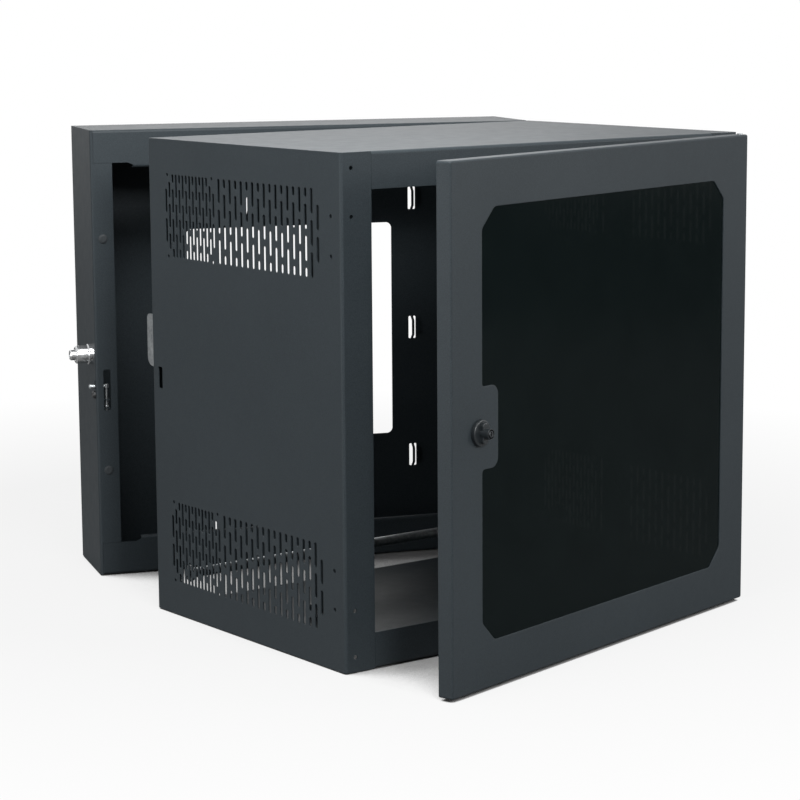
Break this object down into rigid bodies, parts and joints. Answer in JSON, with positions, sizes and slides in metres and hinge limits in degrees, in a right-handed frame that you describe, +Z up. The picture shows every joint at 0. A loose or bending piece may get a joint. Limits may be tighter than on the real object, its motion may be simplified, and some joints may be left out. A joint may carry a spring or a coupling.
{
  "type": "wall mount network cabinet",
  "caption": "Swing-out wall mount network cabinet: back box, vented centre section with 19-inch rails, and a framed smoked-window door, each on hinges.",
  "frame": {"origin": "middle of the back box's wall face", "axes": "+Y into the wall, +Z up, +X towards the hinge side, which is on the right when seen from the front"},
  "size_m": [0.816, 0.9119, 0.6224],
  "materials": {
    "powder_coat": "fine-textured charcoal powder coat",
    "chrome_plate": "polished plate",
    "zinc_plate": "dull zinc plate",
    "black_oxide": "black oxide",
    "black_rubber": "matte",
    "smoked_acrylic": "polished smoked acrylic",
    "black_plastic": "satin"
  },
  "bodies": {
    "back_box": {"back_box_shell": "powder_coat", "back_box_top": "powder_coat", "back_box_bottom": "powder_coat", "flange_bumpers": "black_rubber", "swing_hinge_fixed_leaves": "powder_coat", "swing_hinge_pins": "zinc_plate", "swing_hinge_fixed_screws": "black_oxide", "side_lock_housing": "chrome_plate", "side_lock_nut": "zinc_plate", "latch_bracket": "powder_coat", "latch_screw": "black_oxide"},
    "side_lock": {"side_lock_plunger": "chrome_plate"},
    "swing_latch": {"latch_slide": "zinc_plate"},
    "center_section": {"side_panel_left": "powder_coat", "side_panel_right": "powder_coat", "top_panel": "powder_coat", "bottom_panel": "powder_coat", "lower_cross_bar": "zinc_plate", "rack_rail_left": "powder_coat", "rack_rail_right": "powder_coat", "rail_brackets_left": "powder_coat", "rail_brackets_right": "powder_coat", "rail_bolts": "zinc_plate", "swing_hinge_moving_leaves": "powder_coat", "swing_hinge_moving_screws": "black_oxide", "lock_strike": "zinc_plate", "latch_hook": "zinc_plate", "door_hinge_bracket_upper": "powder_coat", "door_hinge_bracket_lower": "powder_coat", "door_hinge_screws": "black_oxide"},
    "door": {"door_frame": "powder_coat", "door_window": "smoked_acrylic", "window_retainers": "zinc_plate", "retainer_nuts": "zinc_plate", "door_hinge_pins": "zinc_plate", "lock_body": "zinc_plate"},
    "knob": {"door_knob": "black_plastic", "lock_cam": "zinc_plate", "cam_screw": "zinc_plate"},
    "key_cylinder": {"key_plug": "zinc_plate"}
  },
  "joints": [
    {"name": "center_swing", "type": "hinge", "parent": "back_box", "child": "center_section", "pos_m": [0.324, -0.139, 0], "axis": [0, 0, 1], "range_deg": [-19.09, 76]},
    {"name": "door_swing", "type": "hinge", "parent": "center_section", "child": "door", "pos_m": [0.45625, -0.55936, 0], "axis": [0, 0, 1], "range_deg": [-14.28, 105]},
    {"name": "knob_turn", "type": "hinge", "parent": "door", "child": "knob", "pos_m": [-0.02014, -0.88451, -0.004], "axis": [-0.55, 0.8351, 0], "range_deg": [0, 90]},
    {"name": "key_turn", "type": "hinge", "parent": "knob", "child": "key_cylinder", "pos_m": [-0.02014, -0.88451, -0.004], "axis": [-0.55, 0.8351, 0], "range_deg": [0, 90]},
    {"name": "side_lock_push", "type": "slide", "parent": "back_box", "child": "side_lock", "axis": [1, 0, 0], "range_m": [0, 0.0073]},
    {"name": "latch_slide_travel", "type": "slide", "parent": "back_box", "child": "swing_latch", "axis": [0, 0, 1], "range_m": [0, 0.006]}
  ]
}
